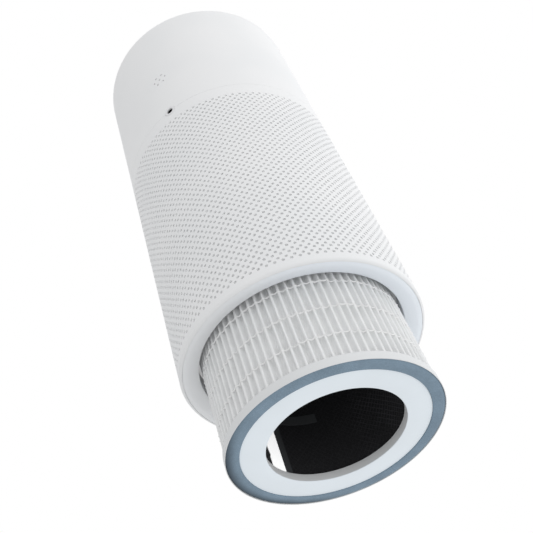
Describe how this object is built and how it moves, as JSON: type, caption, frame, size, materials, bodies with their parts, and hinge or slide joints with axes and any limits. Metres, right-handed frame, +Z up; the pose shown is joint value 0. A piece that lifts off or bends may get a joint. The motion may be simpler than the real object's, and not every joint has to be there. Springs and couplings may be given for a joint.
{
  "type": "air purifier",
  "caption": "White cylindrical air purifier with a perforated lower shell, a top outlet grille with keys and a pleated filter cartridge that slides out of its base.",
  "frame": {"origin": "on the axis, at the bottom face of the cartridge's gasket, with the cartridge drawn part of the way out", "axes": "+Z up along the case's axis, +Y towards the back, where the power inlet and the sensor holes are"},
  "size_m": [0.22, 0.2203, 0.5375],
  "materials": {
    "white_case": "satin white moulded plastic",
    "base_white": "smooth cool white plastic",
    "inner_plastic": "light grey moulded plastic",
    "dark_plastic": "dark grey plastic",
    "pale_plastic": "pale grey ring",
    "black_plastic": "black plastic",
    "sensor_case": "grey sensor housing",
    "foam": "black foam",
    "net": "pale woven net",
    "circuit_board": "green circuit board",
    "metal_parts": "tinned metal",
    "wire_cover": "red wire insulation",
    "steel": "zinc-plated steel",
    "copper_winding": "enamelled copper",
    "clear_ring": "frosted clear plastic",
    "black_gloss": "black gloss",
    "fan_plastic": "white moulded plastic",
    "magnet": "dark sintered magnet",
    "cap_plastic": "pale blue-white plastic",
    "gasket_foam": "blue-grey foam",
    "filter_paper": "white glass-fibre paper",
    "glue": "white hot-melt glue",
    "carbon_mesh": "black mesh over carbon granules",
    "dark_tape": "dark grey tape",
    "label_film": "blank white film",
    "grey_tape": "grey band",
    "key_white": "white key",
    "key_grey": "light grey key"
  },
  "bodies": {
    "housing": {"intake_shell": "white_case", "lint_net": "net", "base_ring": "base_white", "guide_ribs": "inner_plastic", "fan_deck": "inner_plastic", "inlet_guard": "dark_plastic", "fan_duct": "inner_plastic", "upper_housing": "white_case", "top_rim": "white_case", "seam_ring": "inner_plastic", "deck_posts": "inner_plastic", "jack_bezel": "pale_plastic", "dc_jack": "black_plastic", "jack_pin": "steel", "particle_sensor": "sensor_case", "sensor_seal": "foam", "sensor_screen": "net", "main_board": "circuit_board", "board_parts": "metal_parts", "wire_harness": "wire_cover", "motor_mount": "inner_plastic", "motor_can": "steel", "motor_stator": "copper_winding", "bearing_lower": "steel", "bearing_upper": "steel", "outlet_grille": "white_case", "grille_rings": "white_case", "light_guide": "clear_ring", "control_tray": "inner_plastic", "control_panel": "black_gloss", "control_board": "circuit_board", "tact_switches": "metal_parts", "deck_screws": "steel", "motor_screws": "steel", "board_screws": "steel"},
    "fan": {"impeller": "fan_plastic", "motor_shaft": "steel", "motor_rotor": "magnet", "impeller_nut": "steel"},
    "cartridge": {"end_cap_lower": "cap_plastic", "end_cap_upper": "cap_plastic", "gasket_lower": "gasket_foam", "gasket_upper": "gasket_foam", "pleated_media": "filter_paper", "glue_beads": "glue", "carbon_core": "carbon_mesh", "seam_strip": "dark_tape", "blank_label": "label_film", "core_band": "grey_tape"},
    "key_power": {"key_power": "key_white"},
    "key_speed": {"key_speed": "key_grey"},
    "key_timer": {"key_timer": "key_grey"},
    "key_sleep": {"key_sleep": "key_grey"}
  },
  "joints": [
    {"name": "cartridge_slide", "type": "slide", "parent": "housing", "child": "cartridge", "axis": [0, 0, -1], "range_m": [-0.0945, 0.165]},
    {"name": "fan_spin", "type": "hinge", "parent": "housing", "child": "fan", "pos_m": [0, 0, 0.44], "axis": [0, 0, 1], "continuous": true},
    {"name": "key_power_press", "type": "slide", "parent": "housing", "child": "key_power", "axis": [0, 0, -1], "range_m": [0, 0.001], "stiffness_N_per_m": 900},
    {"name": "key_speed_press", "type": "slide", "parent": "housing", "child": "key_speed", "axis": [0, 0, -1], "range_m": [0, 0.001], "stiffness_N_per_m": 900},
    {"name": "key_timer_press", "type": "slide", "parent": "housing", "child": "key_timer", "axis": [0, 0, -1], "range_m": [0, 0.001], "stiffness_N_per_m": 900},
    {"name": "key_sleep_press", "type": "slide", "parent": "housing", "child": "key_sleep", "axis": [0, 0, -1], "range_m": [0, 0.001], "stiffness_N_per_m": 900}
  ]
}
